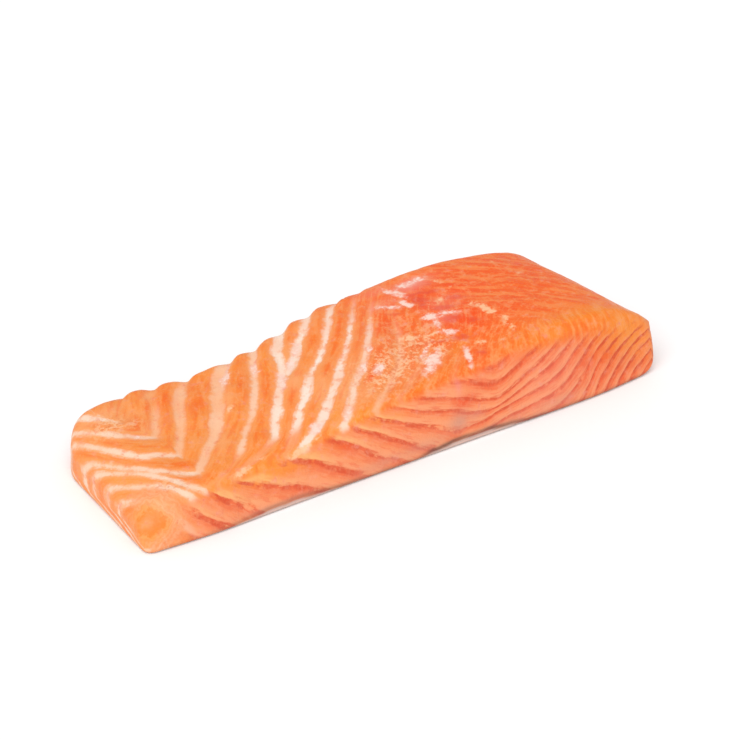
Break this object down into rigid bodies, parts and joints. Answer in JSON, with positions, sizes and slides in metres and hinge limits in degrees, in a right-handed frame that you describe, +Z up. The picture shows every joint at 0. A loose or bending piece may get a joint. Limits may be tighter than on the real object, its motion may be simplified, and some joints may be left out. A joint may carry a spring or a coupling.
{
  "type": "raw salmon fillet",
  "caption": "Raw salmon portion cut across a side of fish: thin belly end, thick rounded back end, flat underside, orange-pink flakes between pale seams of fat.",
  "frame": {"origin": "bottom centre of the fillet's box, on the flat underside", "axes": "+X along the portion from the thin belly end to the thick back end, +Y across it from the front cut face to the back one, +Z up"},
  "size_m": [0.1744, 0.0598, 0.0263],
  "materials": {
    "salmon_flesh": null
  },
  "bodies": {
    "root": {"fillet": "salmon_flesh"}
  },
  "joints": []
}
